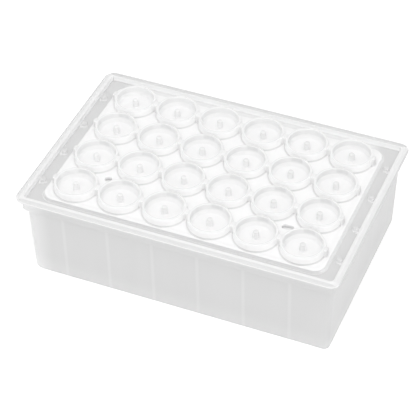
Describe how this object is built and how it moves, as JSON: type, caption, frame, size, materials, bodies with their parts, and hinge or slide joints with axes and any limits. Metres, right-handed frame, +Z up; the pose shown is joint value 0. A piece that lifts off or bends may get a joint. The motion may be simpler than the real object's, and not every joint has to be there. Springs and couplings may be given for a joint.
{
  "type": "well plate",
  "caption": "Rectangular deep well plate for liquid samples, with an open skirt, a rim at the top and a soft one-piece cap mat seated in its recess.",
  "frame": {"origin": "centre of the footprint, on the surface that the plate stands on", "axes": "+X along the long side and the rows of six, +Y along the short side and the columns of four, +Z up, out of the wells"},
  "size_m": [0.1278, 0.0854, 0.0383],
  "materials": {
    "plate_plastic": "natural translucent polypropylene, satin",
    "mat_silicone": "milky translucent silicone, satin"
  },
  "bodies": {
    "root": {"well_plate": "plate_plastic", "cap_mat": "mat_silicone"}
  },
  "joints": []
}
